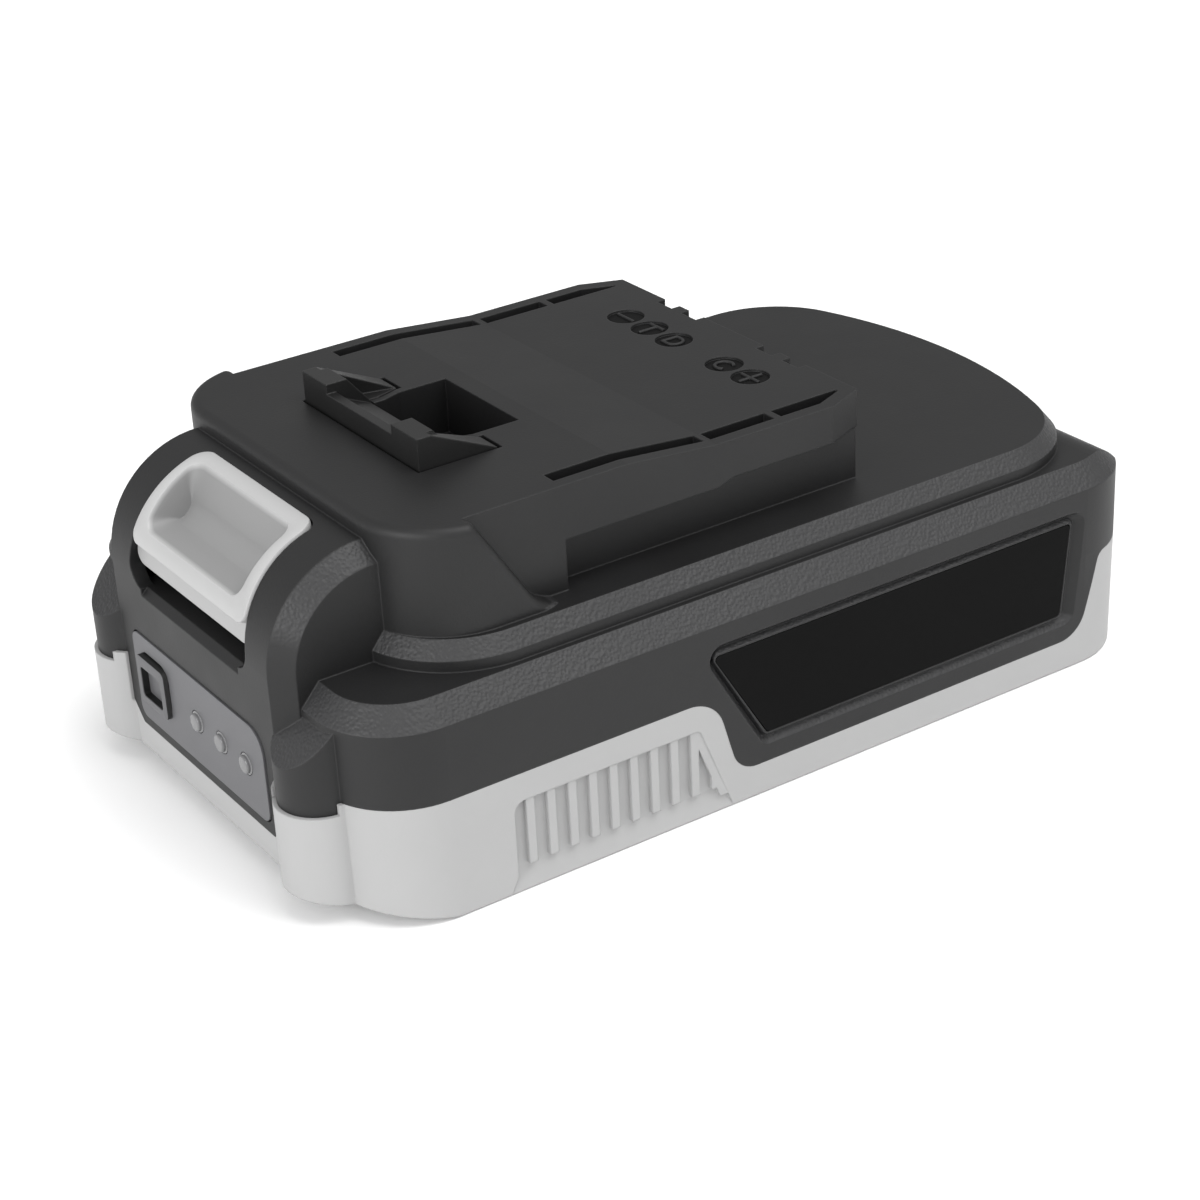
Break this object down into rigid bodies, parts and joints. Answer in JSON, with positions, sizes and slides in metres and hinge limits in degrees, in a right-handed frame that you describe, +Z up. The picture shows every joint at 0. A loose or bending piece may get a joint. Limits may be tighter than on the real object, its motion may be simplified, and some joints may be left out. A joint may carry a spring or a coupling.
{
  "type": "slide-on power tool battery pack",
  "caption": "Slide-on rechargeable battery pack with rail plate, contact slots, spring latch with release button, charge lights and check key.",
  "frame": {"origin": "centre of the bounding box on the resting face (the underside)", "axes": "+X runs along the pack from the release button to the rear end, +Z is up from the resting face, +Y is to the left seen from the rear"},
  "size_m": [0.1288, 0.076, 0.0511],
  "materials": {
    "board": "green glass-epoxy board",
    "button_plastic": "satin light grey moulded plastic",
    "carrier_plastic": "black high-temperature plastic",
    "cell_wrap": "blue-green heat-shrink sleeve over a steel can",
    "chip": "black epoxy package",
    "clear_plastic": "translucent moulded light pipe",
    "contact_metal": "plated copper alloy",
    "dark_plastic": "fine grained dark grey glass-filled nylon",
    "holder_plastic": "black moulded frame",
    "hook_plastic": "satin dark nylon",
    "key_plastic": "satin grey moulded key",
    "led": "small moulded diode",
    "light_plastic": "fine grained light grey moulded plastic",
    "nickel": "plain nickel strip",
    "panel_plastic": "satin black plastic panel",
    "ribbon": "flat flexible cable",
    "screw_steel": "black zinc-plated steel",
    "sheet": "grey insulating paper",
    "spring_steel": "drawn steel wire",
    "status_plastic": "satin mid grey film panel",
    "switch": "black switch body"
  },
  "bodies": {
    "pack": {"board_screws": "screw_steel", "cell_1": "cell_wrap", "cell_2": "cell_wrap", "cell_3": "cell_wrap", "cell_4": "cell_wrap", "cell_5": "cell_wrap", "cell_holder_left": "holder_plastic", "cell_holder_right": "holder_plastic", "check_switch": "switch", "contact_c": "contact_metal", "contact_d": "contact_metal", "contact_minus": "contact_metal", "contact_plus": "contact_metal", "contact_t": "contact_metal", "control_board": "board", "control_chip": "chip", "housing_screws": "screw_steel", "insulating_sheet_left": "sheet", "insulating_sheet_right": "sheet", "light_guide": "clear_plastic", "lower_shell": "light_plastic", "nickel_strip_1": "nickel", "nickel_strip_2": "nickel", "nickel_strip_3": "nickel", "nickel_strip_4": "nickel", "nickel_strip_5": "nickel", "nickel_strip_6": "nickel", "power_transistors": "chip", "side_panel_left": "panel_plastic", "side_panel_right": "panel_plastic", "status_board": "board", "status_leds": "led", "status_panel": "status_plastic", "status_ribbon": "ribbon", "terminal_block": "carrier_plastic", "thermistor": "chip", "upper_shell": "dark_plastic"},
    "latch": {"release_button": "button_plastic", "latch_hook": "hook_plastic", "latch_spring_left": "spring_steel", "latch_spring_right": "spring_steel"},
    "check_key": {"check_button": "key_plastic"}
  },
  "joints": [
    {"name": "latch_slide", "type": "slide", "parent": "pack", "child": "latch", "axis": [0, 0, -1], "range_m": [0, 0.003], "stiffness_N_per_m": 1500, "springref_m": -0.005, "deforming": ["latch_spring_left", "latch_spring_right"]},
    {"name": "check_key_press", "type": "slide", "parent": "pack", "child": "check_key", "axis": [1, 0, 0], "range_m": [0, 0.0005], "stiffness_N_per_m": 700, "springref_m": -0.001}
  ]
}
